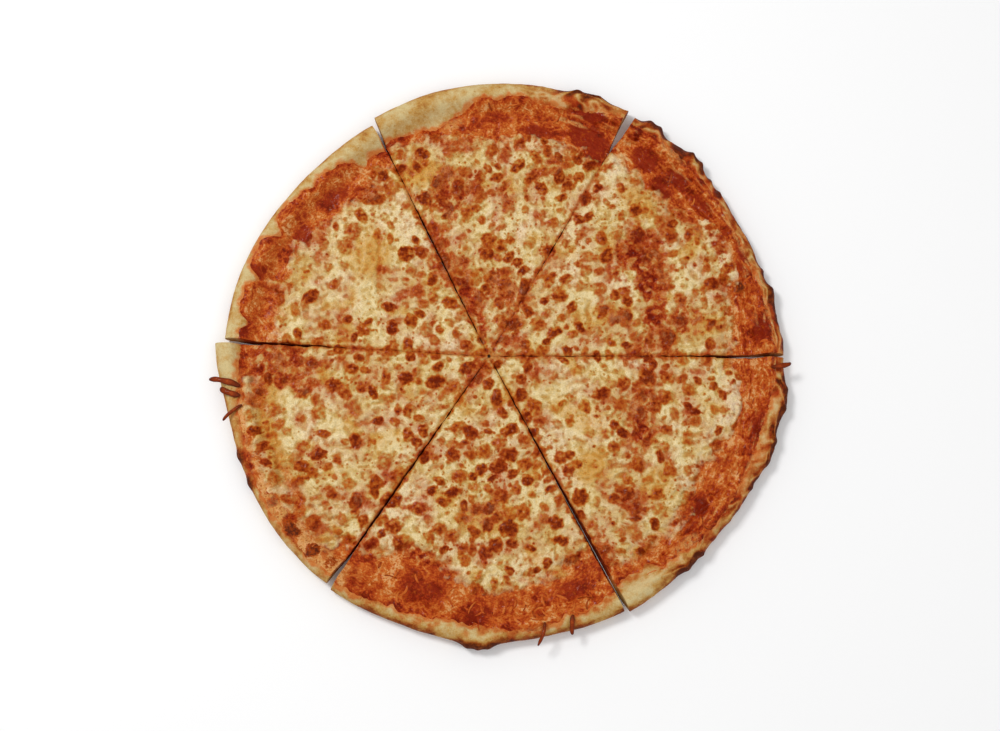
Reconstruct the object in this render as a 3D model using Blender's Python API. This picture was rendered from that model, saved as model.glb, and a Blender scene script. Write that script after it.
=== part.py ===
"""A round cheese pizza on a thin crust, cut into six slices that still lie together.

Every slice is three solids that run through it: the dough with its raised rim, the tomato sauce
and the melted cheese. A few baked strands of cheese lie over the rim. All lengths are in metres,
+Z is up, and the origin is the centre of the base.
"""

import math
from collections import namedtuple

import bmesh
import bpy
from mathutils import Vector, noise

MM = 0.001

# Heights of the layers at the middle of the pizza
DOUGH_HEIGHT = 4.2 * MM
SAUCE_HEIGHT = 1.0 * MM
CHEESE_HEIGHT = 2.5 * MM
LAYER_GAP = 0.35 * MM

# The raised rim, measured inwards from its outermost line
RIM_WIDTH = 19.0 * MM
RIM_HEIGHT = 11.5 * MM
CROWN_INSET = 6.5 * MM
FOOT_INSET = 3.5 * MM
WALL_MIDDLE = 4.6 * MM
RIM_SWELL = 1.6 * MM
RIM_SWELL_LENGTH = 34.0 * MM

# The cuts
TIP_RADIUS = 1.5 * MM
GAP_REACH = 150.0 * MM
CHEESE_SETBACK = 0.3 * MM

# Unevenness of the melted cheese
LUMP_HEIGHT = 0.75 * MM
LUMP_LENGTH = 15.0 * MM
BLISTER_HEIGHT = 0.9 * MM
BLISTER_LENGTH = 9.0 * MM

# Mesh density
ANGLE_STEPS = 18
TIP_MERGE = 0.35 * MM
NOMINAL_ANGLE = 1.0

# Colours of the three foods: (red, green, blue), roughness
DOUGH_LOOK = ((0.62, 0.40, 0.16), 0.75)
SAUCE_LOOK = ((0.42, 0.06, 0.015), 0.35)
CHEESE_LOOK = ((0.66, 0.42, 0.14), 0.4)
STRAND_LOOK = ((0.40, 0.10, 0.02), 0.4)

Slice = namedtuple("Slice", "name start end start_cut end_cut rim sauce cheese")

# How wide each cut gapes in millimetres, at even steps from the crossing to GAP_REACH
CUT_GAPS = {
    "right": (0.5, 0.6, 0.7, 0.8, 1.0, 1.4, 2.0),
    "upper_right": (0.5, 0.5, 0.6, 0.9, 0.6, 1.1, 5.2),
    "upper_left": (0.5, 0.6, 0.8, 1.0, 0.7, 0.9, 3.6),
    "left": (0.5, 0.5, 0.6, 0.7, 1.3, 1.9, 3.4),
    "lower_left": (0.5, 0.7, 0.8, 1.0, 1.1, 1.4, 4.2),
    "lower_right": (0.5, 0.7, 0.8, 1.2, 2.2, 2.9, 2.6),
}

# Angles in degrees about the point where the cuts cross, anticlockwise from +X. rim, sauce and cheese
# are how far each reaches from that point, in millimetres, at even steps from one cut to the next.
SLICES = (
    Slice("upper_right", 0.0, 59.9, "right", "upper_right",
          rim=(157.5, 154.5, 153.5, 155.0, 154.5),
          sauce=(153.0, 149.0, 148.5, 151.0, 150.0),
          cheese=(132.0, 137.0, 139.5, 131.0, 136.0)),
    Slice("top", 59.9, 116.0, "upper_right", "upper_left",
          rim=(156.0, 154.0, 152.5, 150.5, 147.0),
          sauce=(150.0, 143.0, 145.0, 133.0, 132.0),
          cheese=(124.0, 128.0, 124.0, 128.0, 130.0)),
    Slice("upper_left", 116.0, 176.6, "upper_left", "left",
          rim=(143.5, 140.8, 140.6, 141.5, 141.5),
          sauce=(128.0, 134.0, 137.5, 137.0, 135.0),
          cheese=(122.0, 116.0, 119.0, 121.0, 116.0)),
    Slice("lower_left", 176.6, 235.5, "left", "lower_left",
          rim=(146.5, 142.0, 143.0, 145.5, 147.0),
          sauce=(133.0, 135.0, 139.0, 141.5, 142.5),
          cheese=(129.0, 130.5, 128.0, 128.5, 128.0)),
    Slice("bottom", 235.5, 298.2, "lower_left", "lower_right",
          rim=(148.5, 148.5, 151.0, 150.3, 152.0),
          sauce=(144.0, 142.5, 142.0, 146.5, 141.0),
          cheese=(128.0, 114.0, 126.0, 125.0, 120.0)),
    Slice("lower_right", 298.2, 360.0, "lower_right", "right",
          rim=(153.5, 152.5, 154.5, 157.8, 157.5),
          sauce=(137.5, 145.0, 149.5, 150.0, 153.0),
          cheese=(133.0, 136.0, 131.5, 134.5, 131.0)),
)

# Blisters that stand out of the rim: angle and half width in degrees, and how far out in millimetres
RIM_BLISTERS = (
    (12.5, 2.2, 1.8),
    (45.0, 3.0, 2.8),
    (55.5, 2.4, 3.2),
    (68.5, 3.6, 1.8),
    (202.0, 1.8, 1.6),
    (208.5, 1.8, 1.6),
    (267.5, 3.2, 3.2),
    (314.0, 3.0, 1.2),
    (341.0, 3.4, 1.2),
    (351.5, 3.0, 2.2),
)

Strand = namedtuple("Strand", "name inner outer width")

# Baked strands of cheese: angle in degrees and reach in millimetres of both ends, and width in millimetres
STRANDS = (
    Strand("strand_left_long", (186.4, 133.6), (184.9, 147.8), 3.6),
    Strand("strand_left_thick", (189.4, 134.0), (187.4, 143.4), 3.6),
    Strand("strand_left_thin", (192.0, 134.2), (193.8, 144.4), 2.2),
    Strand("strand_bottom_thin", (281.6, 144.5), (279.9, 154.2), 1.8),
    Strand("strand_bottom_stub", (287.4, 144.0), (286.5, 152.6), 2.6),
    Strand("strand_right_stub", (357.4, 150.0), (358.2, 160.2), 2.8),
)
STRAND_THICKNESS = 1.6 * MM
STRAND_POINTS = 7
STRAND_CLEARANCE = 0.5 * MM
STRAND_DROOP = 1.2 * MM

# Stations from the tip to the rim: 1 is the cheese's edge, 2 the sauce's and 3 the rim's. The layers
# share theirs, so that they stay parallel.
SHARED = (0.0, 0.86, 0.93, 1.0, 1.35, 1.7, 2.0)
DOUGH_TOP = (3.0, 2.985, 2.95, 2.88, 2.77, 2.62, 2.42, 2.2) + SHARED[::-1]
DOUGH_BASE = (0.0, 1.9, 2.5, 2.75, 2.9, 2.97)
SAUCE_TOP = SHARED[::-1]
SAUCE_BASE = SHARED
CHEESE_TOP = (1.0, 0.985, 0.95, 0.9, 0.84, 0.77, 0.7, 0.63, 0.56, 0.49, 0.41, 0.32, 0.2, 0.0)
CHEESE_BASE = SHARED[:4]


def between(values, share):
    """A smooth curve through evenly spaced values, read at a share from 0 to 1."""
    place = max(0.0, min(1.0, share)) * (len(values) - 1)
    step = min(int(place), len(values) - 2)
    before, here, there, after = (values[max(0, min(len(values) - 1, step + k))] for k in (-1, 0, 1, 2))
    t = place - step
    return 0.5 * (
        2 * here
        + (there - before) * t
        + (2 * before - 5 * here + 4 * there - after) * t**2
        + (3 * here - before - 3 * there + after) * t**3
    )


def read_along(values, piece, angle):
    return between(values, (angle - piece.start) / (piece.end - piece.start)) * MM


def rim_reach(piece, angle):
    """How far the rim's outermost line is from the crossing of the cuts."""
    reach = read_along(piece.rim, piece, angle)
    for middle, half_width, out in RIM_BLISTERS:
        reach += out * MM * math.exp(-(((angle - middle) / half_width) ** 2))
    return reach


def station_reach(piece, angle, station):
    """How far a station is from the crossing of the cuts."""
    edges = (
        TIP_RADIUS,
        read_along(piece.cheese, piece, angle),
        read_along(piece.sauce, piece, angle),
        rim_reach(piece, angle),
    )
    inner = min(int(station), 2)
    return edges[inner] + (station - inner) * (edges[inner + 1] - edges[inner])


def around(angle, reach):
    return Vector((math.cos(math.radians(angle)), math.sin(math.radians(angle)), 0.0)) * reach


def rim_height(angle, reach):
    swell = noise.noise(around(angle, reach) / RIM_SWELL_LENGTH)
    return RIM_HEIGHT + RIM_SWELL * swell


def dough_top(piece, angle, reach):
    """Height of the dough's upper side: flat under the sauce, then up and over the rim's crown."""
    edge = rim_reach(piece, angle)
    inset = max(0.0, edge - reach)
    crown = rim_height(angle, edge)
    if inset >= RIM_WIDTH:
        return DOUGH_HEIGHT
    if inset >= CROWN_INSET:
        climb = (RIM_WIDTH - inset) / (RIM_WIDTH - CROWN_INSET)
        return DOUGH_HEIGHT + (crown - DOUGH_HEIGHT) * (1 - math.cos(math.pi * climb)) / 2
    fall = (CROWN_INSET - inset) / CROWN_INSET
    return WALL_MIDDLE + (crown - WALL_MIDDLE) * math.sqrt(max(0.0, 1 - fall**2))


def dough_base(piece, angle, reach):
    """Height of the dough's lower side: flat, then round the foot to the middle of the wall."""
    inset = max(0.0, rim_reach(piece, angle) - reach)
    if inset >= FOOT_INSET:
        return 0.0
    return WALL_MIDDLE * (1 - math.sqrt(1 - ((FOOT_INSET - inset) / FOOT_INSET) ** 2))


def sauce_base(piece, angle, reach):
    return dough_top(piece, angle, reach) + LAYER_GAP


def sauce_top(piece, angle, reach):
    """The sauce keeps its thickness and thins out over its last stretch."""
    edge = read_along(piece.sauce, piece, angle)
    thinning = min(1.0, max(0.0, (edge - reach) / RIM_WIDTH))
    return sauce_base(piece, angle, reach) + SAUCE_HEIGHT * (0.5 + 0.5 * thinning)


def cheese_base(piece, angle, reach):
    return sauce_top(piece, angle, reach) + LAYER_GAP


def cheese_top(piece, angle, reach):
    """The melted cheese is lumpy, blistered, and rounds down to its own edge."""
    place = around(angle, reach)
    lumps = LUMP_HEIGHT * noise.noise(place / LUMP_LENGTH)
    blisters = BLISTER_HEIGHT * max(0.0, noise.noise(place / BLISTER_LENGTH + Vector((7.0, 3.0, 0.0))))
    edge = read_along(piece.cheese, piece, angle)
    rounding = min(1.0, max(0.0, edge - reach) / (2 * CHEESE_HEIGHT))
    thickness = (CHEESE_HEIGHT + lumps + blisters) * (0.45 + 0.55 * math.sqrt(rounding))
    return cheese_base(piece, angle, reach) + thickness


def cut_back(cut, reach):
    """Half the gap of a cut at a distance from the crossing, where the tips nearly touch."""
    return between(CUT_GAPS[cut], reach / GAP_REACH) * MM / 2


def split_alike(face):
    """Splits a four-sided face the same way in every layer, so that bent faces stay parallel too."""
    rank = {
        corner: math.atan2(corner.co.y, corner.co.x) + corner.co.xy.length + corner.co.z / 1000
        for corner in face.verts
    }
    bmesh.utils.face_split(face, min(rank, key=rank.get), max(rank, key=rank.get))


def turned_wedge(name, top, base):
    """A closed profile turned through the nominal angle, with both cut ends filled.

    Its corners are at 1 + their station, with z +1 on the upper side and -1 on the lower side.
    """
    shape = bmesh.new()
    profile = [(1 + station, 1.0) for station in top] + [(1 + station, -1.0) for station in base]
    corners = [shape.verts.new((x, 0.0, z)) for x, z in profile]
    ring = [shape.edges.new((a, b)) for a, b in zip(corners, corners[1:] + corners[:1])]
    bmesh.ops.spin(
        shape,
        geom=corners + ring,
        cent=(0.0, 0.0, 0.0),
        axis=(0.0, 0.0, 1.0),
        angle=NOMINAL_ANGLE,
        steps=ANGLE_STEPS,
        use_merge=False,
    )
    for face in list(shape.faces):
        split_alike(face)
    bmesh.ops.holes_fill(shape, edges=[edge for edge in shape.edges if edge.is_boundary])
    mesh = bpy.data.meshes.new(name)
    shape.to_mesh(mesh)
    shape.free()
    return mesh


def fit_to_slice(mesh, piece, top_of, base_of, setback):
    """Moves the nominal wedge's corners to the slice's real outline and heights."""
    shape = bmesh.new()
    shape.from_mesh(mesh)
    for corner in shape.verts:
        turn = math.atan2(corner.co.y, corner.co.x) / NOMINAL_ANGLE
        station = math.hypot(corner.co.x, corner.co.y) - 1
        angle = piece.start + turn * (piece.end - piece.start)
        reach = station_reach(piece, angle, station)
        height_of = top_of if corner.co.z > 0 else base_of
        height = height_of(piece, angle, reach)
        lost_at_start = math.asin((cut_back(piece.start_cut, reach) + setback) / reach)
        lost_at_end = math.asin((cut_back(piece.end_cut, reach) + setback) / reach)
        width = math.radians(piece.end - piece.start) - lost_at_start - lost_at_end
        turned = math.radians(piece.start) + lost_at_start + turn * width
        corner.co = (reach * math.cos(turned), reach * math.sin(turned), height)
    bmesh.ops.remove_doubles(shape, verts=shape.verts, dist=TIP_MERGE)
    bmesh.ops.recalc_face_normals(shape, faces=shape.faces)
    shape.to_mesh(mesh)
    shape.free()


def food_material(name, look):
    colour, roughness = look
    material = bpy.data.materials.new(name)
    material.use_nodes = True
    surface = material.node_tree.nodes["Principled BSDF"]
    surface.inputs["Base Color"].default_value = (*colour, 1.0)
    surface.inputs["Roughness"].default_value = roughness
    surface.inputs["Metallic"].default_value = 0.0
    return material


def add_solid(name, mesh, material, collection):
    mesh.materials.append(material)
    mesh.shade_smooth()
    mesh.set_sharp_from_angle(angle=math.radians(50))
    solid = bpy.data.objects.new(name, mesh)
    collection.objects.link(solid)
    return solid


def add_slice(piece, looks, collection):
    """The dough, the sauce and the cheese of one slice."""
    layers = (
        ("dough", DOUGH_TOP, DOUGH_BASE, dough_top, dough_base, 0.0),
        ("sauce", SAUCE_TOP, SAUCE_BASE, sauce_top, sauce_base, 0.0),
        ("cheese", CHEESE_TOP, CHEESE_BASE, cheese_top, cheese_base, CHEESE_SETBACK),
    )
    for food, top, base, top_of, base_of, setback in layers:
        name = f"{food}_{piece.name}"
        mesh = turned_wedge(name, top, base)
        fit_to_slice(mesh, piece, top_of, base_of, setback)
        add_solid(name, mesh, looks[food], collection)


def slice_at(angle):
    return next(piece for piece in SLICES if piece.start <= angle <= piece.end)


def lie_height(piece, angle, reach):
    """Height of the food's upper side beside the cheese, held level past the rim's crown."""
    crown = rim_reach(piece, angle) - CROWN_INSET
    return sauce_top(piece, angle, min(reach, crown))


def add_strand(strand, material, collection):
    """A flat ribbon with round edges that lies over the rim and droops a little past it."""
    line = bpy.data.curves.new(strand.name, "CURVE")
    line.dimensions = "3D"
    line.extrude = (strand.width * MM - STRAND_THICKNESS) / 2
    line.bevel_depth = STRAND_THICKNESS / 2
    line.bevel_resolution = 1
    line.use_fill_caps = True
    path = line.splines.new("POLY")
    path.points.add(STRAND_POINTS - 1)
    for number, point in enumerate(path.points):
        along = number / (STRAND_POINTS - 1)
        angle = strand.inner[0] + along * (strand.outer[0] - strand.inner[0])
        reach = (strand.inner[1] + along * (strand.outer[1] - strand.inner[1])) * MM
        height = lie_height(slice_at(angle), angle, reach) + STRAND_CLEARANCE + STRAND_THICKNESS / 2
        point.co = (*around(angle, reach).xy, height - STRAND_DROOP * along**4, 1.0)
        point.radius = 1.0 - 0.4 * along**3
        point.tilt = math.pi / 2
    guide = bpy.data.objects.new(strand.name + "_guide", line)
    collection.objects.link(guide)
    bpy.context.view_layer.update()
    mesh = bpy.data.meshes.new_from_object(guide.evaluated_get(bpy.context.evaluated_depsgraph_get()))
    bpy.data.objects.remove(guide)
    tidy = bmesh.new()
    tidy.from_mesh(mesh)
    bmesh.ops.remove_doubles(tidy, verts=tidy.verts, dist=0.01 * MM)
    bmesh.ops.recalc_face_normals(tidy, faces=tidy.faces)
    tidy.to_mesh(mesh)
    tidy.free()
    mesh.name = strand.name
    add_solid(strand.name, mesh, material, collection)


def centre_on_base(solids):
    """Moves every solid alike, so that the origin is the middle of the whole pizza's base."""
    corners = [vertex.co for solid in solids for vertex in solid.data.vertices]
    middle = [(min(c[k] for c in corners) + max(c[k] for c in corners)) / 2 for k in (0, 1)]
    for solid in solids:
        for vertex in solid.data.vertices:
            vertex.co.x -= middle[0]
            vertex.co.y -= middle[1]


def main():
    for leftover in list(bpy.data.objects):
        bpy.data.objects.remove(leftover)
    pizza = bpy.data.collections.new("pizza")
    bpy.context.scene.collection.children.link(pizza)
    looks = {
        "dough": food_material("baked_dough", DOUGH_LOOK),
        "sauce": food_material("tomato_sauce", SAUCE_LOOK),
        "cheese": food_material("melted_cheese", CHEESE_LOOK),
        "strand": food_material("baked_strand", STRAND_LOOK),
    }
    for piece in SLICES:
        add_slice(piece, looks, pizza)
    for strand in STRANDS:
        add_strand(strand, looks["strand"], pizza)
    centre_on_base(list(pizza.objects))


main()
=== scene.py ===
"""A baked cheese pizza cut in six slices, dressed over its CAD frame.

Lengths are in metres and +Z is up. Places on the pizza are given by the angle about the crossing of
the cuts, in degrees anticlockwise from +X, and the reach from that crossing.
"""

import math
from collections import namedtuple
import bpy
import numpy as np
from bpy.props import FloatProperty, FloatVectorProperty, IntProperty, PointerProperty
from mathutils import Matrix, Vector


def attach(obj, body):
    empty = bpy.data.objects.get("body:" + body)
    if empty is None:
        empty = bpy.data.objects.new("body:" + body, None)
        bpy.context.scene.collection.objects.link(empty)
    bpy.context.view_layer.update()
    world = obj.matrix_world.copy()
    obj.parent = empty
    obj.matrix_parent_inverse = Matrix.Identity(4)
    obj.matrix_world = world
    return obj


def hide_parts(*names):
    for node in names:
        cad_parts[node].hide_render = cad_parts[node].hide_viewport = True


bl_info = {
    "name": "Cheese pizza",
    "version": (1, 0, 0),
    "blender": (4, 5, 0),
    "location": "View3D > Sidebar > Pizza",
    "description": "Dresses the six slices of a baked cheese pizza",
    "category": "Add Mesh",
}

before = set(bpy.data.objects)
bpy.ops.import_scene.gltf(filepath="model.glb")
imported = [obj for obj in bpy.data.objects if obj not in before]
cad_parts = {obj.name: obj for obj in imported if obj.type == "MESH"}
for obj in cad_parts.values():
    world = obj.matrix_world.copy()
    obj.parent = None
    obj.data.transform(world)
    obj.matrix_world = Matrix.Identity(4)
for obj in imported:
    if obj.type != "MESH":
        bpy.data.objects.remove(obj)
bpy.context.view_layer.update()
MM = 0.001

# Where the cuts cross
CROSSING = np.array([-6.426, 0.722]) * MM

# Heights of the layers and the shape of the rim, as in the solids
DOUGH_HEIGHT = 4.2 * MM
SAUCE_HEIGHT = 1.0 * MM
LAYER_GAP = 0.35 * MM
RIM_WIDTH = 19.0 * MM
RIM_HEIGHT = 11.5 * MM
CROWN_INSET = 6.5 * MM
FOOT_INSET = 3.5 * MM
WALL_MIDDLE = 4.6 * MM
WALL_HALF = 0.3 * MM
TIP_RADIUS = 1.5 * MM
CHEESE_TIP = 0.7 * MM
GAP_REACH = 150.0 * MM

# Mean reach of the rim and how far out blisters are scattered, in millimetres
MEAN_REACH = 150.0
BLISTER_REACH = 142.0

# Where along a slice's rows, from 0 at the tip to 1, the wide rows of the middle end, and where those
# of the dough's foot start
DOUGH_BEND = 0.5
SAUCE_BEND = 0.4
FOOT_START = 0.8

# The finest grain of every surface, and the place that the camera looks at
FINEST_GRAIN = 0.6 * MM
AIM = Vector((-0.000566, -0.004065, 0.006))

Slice = namedtuple("Slice", "name seed start end start_cut end_cut rim sauce cheese")

# How wide each cut gapes in millimetres, at even steps from the crossing to GAP_REACH
CUT_GAPS = {
    "right": (0.5, 0.6, 0.7, 0.8, 1.0, 1.4, 2.0),
    "upper_right": (0.5, 0.5, 0.6, 0.9, 0.6, 1.1, 5.2),
    "upper_left": (0.5, 0.6, 0.8, 1.0, 0.7, 0.9, 3.6),
    "left": (0.5, 0.5, 0.6, 0.7, 1.3, 1.9, 3.4),
    "lower_left": (0.5, 0.7, 0.8, 1.0, 1.1, 1.4, 4.2),
    "lower_right": (0.5, 0.7, 0.8, 1.2, 2.2, 2.9, 2.6),
}

# How open each cut shows in the cheese, at the same steps
CUT_OPEN = {
    "right": (0.6, 0.2, 0.4, 0.1, 0.4, 0.9, 1.0),
    "upper_right": (0.4, 0.0, 0.1, 0.5, -0.2, 0.1, 1.0),
    "upper_left": (0.5, 0.7, 1.0, 1.0, 0.3, 0.5, 1.0),
    "left": (0.4, 0.1, 0.0, 0.1, 0.9, 1.0, 1.0),
    "lower_left": (0.4, 0.5, 0.7, 1.0, 1.0, 0.8, 1.0),
    "lower_right": (0.5, 0.8, 1.0, 1.0, 1.0, 1.0, 1.0),
}

# rim, sauce and cheese: reach in millimetres at even steps from one cut to the next
SLICES = (
    Slice("upper_right", 11, 0.0, 59.9, "right", "upper_right",
          rim=(157.5, 154.5, 153.5, 155.0, 154.5),
          sauce=(153.0, 149.0, 148.5, 151.0, 150.0),
          cheese=(132.0, 137.0, 139.5, 131.0, 136.0)),
    Slice("top", 12, 59.9, 116.0, "upper_right", "upper_left",
          rim=(156.0, 154.0, 152.5, 150.5, 147.0),
          sauce=(150.0, 143.0, 145.0, 133.0, 132.0),
          cheese=(124.0, 128.0, 124.0, 128.0, 130.0)),
    Slice("upper_left", 13, 116.0, 176.6, "upper_left", "left",
          rim=(143.5, 140.8, 140.6, 141.5, 141.5),
          sauce=(128.0, 134.0, 137.5, 137.0, 135.0),
          cheese=(122.0, 116.0, 119.0, 121.0, 116.0)),
    Slice("lower_left", 14, 176.6, 235.5, "left", "lower_left",
          rim=(146.5, 142.0, 143.0, 145.5, 147.0),
          sauce=(133.0, 135.0, 139.0, 141.5, 142.5),
          cheese=(129.0, 130.5, 128.0, 128.5, 128.0)),
    Slice("bottom", 15, 235.5, 298.2, "lower_left", "lower_right",
          rim=(148.5, 148.5, 151.0, 150.3, 152.0),
          sauce=(144.0, 142.5, 142.0, 146.5, 141.0),
          cheese=(128.0, 114.0, 126.0, 125.0, 120.0)),
    Slice("lower_right", 16, 298.2, 360.0, "lower_right", "right",
          rim=(153.5, 152.5, 154.5, 157.8, 157.5),
          sauce=(137.5, 145.0, 149.5, 150.0, 153.0),
          cheese=(133.0, 136.0, 131.5, 134.5, 131.0)),
)

# Blisters that stand out of the rim and the smaller nubs on them: angle and half width in degrees,
# how far out in millimetres
RIM_BLISTERS = (
    (12.5, 2.2, 1.8), (45, 3, 2.8), (55.5, 2.4, 3.2), (68.5, 3.6, 1.8), (202, 1.4, 1.1),
    (208.5, 1.4, 1.1), (267.5, 3.2, 3.2), (314, 3, 1.2), (341, 3.4, 1.2), (351.5, 3, 2.2),
)

RIM_NUBS = (
    (13.6, 0.9, 1), (17.6, 0.8, 0.9), (36.2, 0.8, 0.9), (39.4, 0.7, 1.2), (43.2, 0.8, 1.4),
    (46, 0.7, 1), (54.2, 0.8, 1.2), (56.8, 0.9, 1.6), (66.5, 0.8, 0.9), (71.2, 1, 1.4),
    (265.4, 0.9, 1), (267.8, 0.6, 0.6), (270, 1, 1.2), (312.5, 0.8, 0.8), (316.4, 0.7, 0.9),
    (333, 0.8, 0.9), (339, 0.9, 0.9), (343.4, 0.8, 1), (349.8, 0.9, 1), (354, 0.8, 1.1),
)

# Areas on the pizza: angle in degrees, reach, half length around and half width outwards in
# millimetres, and strength. First where sauce shows red through the cheese
RED_AREAS = (
    (183, 106, 11, 13, 1), (180, 121, 9, 10, 0.9), (188, 101, 8, 8, 0.9), (104, 92, 9, 15, 0.9),
    (36, 93, 10, 7, 1.4), (24, 95, 13, 7, 1.4), (13, 91, 9, 6, 1.4), (343, 86, 14, 8, 0.9),
    (333, 92, 12, 7, 0.9), (2.5, 80, 4, 8, 0.9), (236, 12, 6, 8, 0.8), (33, 104, 18, 9, 0.8),
    (11, 108, 10, 8, 0.7), (80, 36, 8, 14, 0.5), (107, 30, 6, 18, 1.1), (72, 116, 8, 8, 0.6),
    (54, 134, 8, 8, 0.9), (36, 132, 14, 5, 0.8), (126, 112, 8, 6, 0.7), (250, 116, 17, 8, 1),
    (239, 119, 6, 8, 0.9), (294, 121, 5, 7, 0.9), (300, 117, 3, 16, 0.8), (268, 84, 12, 8, 0.5),
    (60, 30, 8, 14, 0.5), (80, 118, 12, 4, 0.7), (97, 119, 12, 5, 0.7), (113, 70, 4, 18, 0.8),
    (119, 56, 4, 12, 0.8),
)

# Where the cheese is thin, pale and pink
PINK_AREAS = (
    (24, 137, 22, 4, 1), (30, 82, 16, 4, 1), (48, 62, 6, 14, 0.7), (350, 131, 18, 6, 1),
    (240, 95, 6, 18, 0.9), (244, 112, 6, 8, 0.7), (58, 88, 5, 20, 0.8), (57, 124, 6, 7, 0.8),
    (173, 126, 5, 8, 0.9), (303, 60, 5, 26, 0.8), (122, 80, 7, 16, 0.6), (76, 120, 12, 5, 0.7),
    (282, 112, 14, 6, 0.6), (328, 72, 6, 16, 0.6),
)

# Where the cheese is golden with oil
GOLD_AREAS = (
    (138, 85, 13, 11, 0.8), (111, 108, 12, 8, 1), (312, 80, 10, 10, 1), (327, 62, 8, 12, 0.6),
    (270, 86, 18, 9, 0.7), (47, 118, 12, 8, 0.7), (20, 60, 6, 14, 0.5), (8, 116, 7, 12, 0.6),
    (202, 124, 24, 6, 0.8), (189, 118, 8, 8, 0.7), (322, 112, 12, 8, 0.6), (172, 78, 10, 6, 0.5),
)

# Where the sauce lies in dark pools
DARK_RED_AREAS = (
    (67, 145, 10, 3.6, 1.4), (65.5, 133, 12, 7, 1.5), (62.4, 129, 5, 9, 1.4), (78, 128, 9, 4, 0.8),
    (53, 138, 9, 6, 1.1), (44, 141, 8, 3.6, 1), (36, 141, 10, 4, 0.8), (20, 145, 9, 4, 0.7),
    (255, 128, 16, 8, 0.6), (268, 136, 12, 6, 0.6), (290, 131, 9, 6, 0.7), (346, 146, 12, 4, 0.6),
    (322, 137, 12, 6, 0.6), (147, 121, 9, 5, 0.9), (45, 132, 10, 5, 0.7), (5, 146, 9, 5, 0.7),
    (88, 133, 9, 4, 0.6), (160, 132, 4, 5, 0.7), (133, 122, 12, 5, 0.7), (175, 134, 4, 6, 0.7),
)

# Where thin cheese has baked tan onto the rim
TAN_AREAS = (
    (121, 137, 8, 5, 0.9), (70, 138, 9, 1.3, 0.8), (99, 131, 7, 3.5, 0.6), (315, 144, 8, 3.5, 0.8),
    (336, 150, 13, 2.4, 0.7), (351, 153, 8, 2.6, 0.6), (25, 149, 14, 2.6, 0.7),
    (7, 152, 12, 2.4, 0.7), (49, 149, 9, 2.4, 0.5), (280, 148, 16, 3, 0.5),
)

# Charred blisters
CHAR_SPOTS = (
    (222.3, 138.6, 5.6, 3.8, 0.9), (228.8, 138, 3.6, 4.6, 0.8), (233.6, 137, 3.4, 3.2, 0.5),
    (15.5, 139, 4, 3.8, 0.8), (208, 130, 3, 3.6, 0.4), (212.5, 134, 2.8, 3.4, 0.4),
    (200, 131, 3, 2.6, 0.35),
)

# Where the cheese runs out over the sauce
OUTER_CHEESE = (
    (203, 133, 44, 8, 1), (226, 131, 18, 6, 0.9), (318, 138, 12, 5, 0.5), (24, 138, 20, 5, 0.8),
    (349, 132, 20, 6, 0.8), (149.8, 122, 3.6, 9, 0.9), (161.6, 121, 3.2, 9, 0.8),
    (120.5, 121, 3, 6, 0.5),
)

# Where golden cheese has baked onto the crust
BAKED_CRUST = (
    (207, 134, 50, 7, 1), (224, 137, 34, 8, 1), (232, 138, 14, 8, 0.9), (193, 131, 20, 5, 0.8),
)

# Where the pale crust reaches in between tongues of sauce: angle and half width in degrees, and depth
# in millimetres
SAUCE_BAYS = (
    (149.8, 1.7, 8), (161.8, 1.4, 6.5), (172.8, 1.3, 5), (122.6, 1.6, 4), (136, 1.5, 2.5),
    (88, 2.2, 2.5), (103, 2, 3), (286.5, 1.6, 2), (306, 1.5, 3),
)

# Where blisters crowd together
BLISTER_CROWDS = (
    (30, 112, 16, 10, 0.9), (44, 107, 12, 9, 1), (345, 112, 14, 9, 0.6), (318, 118, 18, 14, 0.5),
    (212, 108, 22, 9, 0.7), (100, 92, 22, 14, 0.8), (262, 70, 22, 18, 1), (278, 55, 16, 20, 0.8),
    (230, 60, 16, 16, 0.5), (175, 70, 30, 9, 0.6), (88, 50, 20, 20, 0.7), (30, 40, 16, 14, 0.5),
    (204, 135, 40, 5, 0.8),
)

# Where the cheese has few blisters
BARE_AREAS = (
    (207, 82, 34, 22, 0.8), (200, 110, 26, 12, 0.7), (334, 40, 20, 20, 0.5), (150, 88, 30, 26, 0.9),
    (163, 103, 20, 14, 0.9), (312, 84, 14, 14, 0.8), (280, 104, 22, 12, 0.6),
    (222, 122, 14, 8, 0.6), (60, 112, 8, 16, 0.6), (22, 66, 16, 14, 0.4), (240, 100, 8, 18, 0.5),
)

# Baked shreds: from and to in degrees, from and to in reach, and how many
SHRED_ZONES = (
    (238, 262, 123, 138, 12), (264, 295, 130, 144, 34), (3, 20, 142, 149, 5), (26, 56, 138, 147, 9),
    (304, 330, 138, 146, 10), (332, 356, 140, 148, 7), (64, 98, 129, 140, 5),
)

Strand = namedtuple("Strand", "name inner outer width bow")

# Inner and outer end as angle and reach, width in millimetres, and how far it bows
STRANDS = (
    Strand("left_long", (187.0, 132.5), (184.9, 148.6), 3.4, 0.10),
    Strand("left_thick", (189.6, 133.4), (187.4, 143.6), 3.4, -0.12),
    Strand("left_thin", (191.6, 133.0), (193.9, 144.8), 2.2, 0.08),
    Strand("bottom_thin", (281.9, 143.5), (279.6, 154.6), 1.9, -0.10),
    Strand("bottom_stub", (287.6, 143.0), (286.3, 152.8), 2.6, 0.12),
    Strand("right_stub", (357.2, 149.5), (358.3, 160.2), 2.9, 0.10),
)


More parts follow.
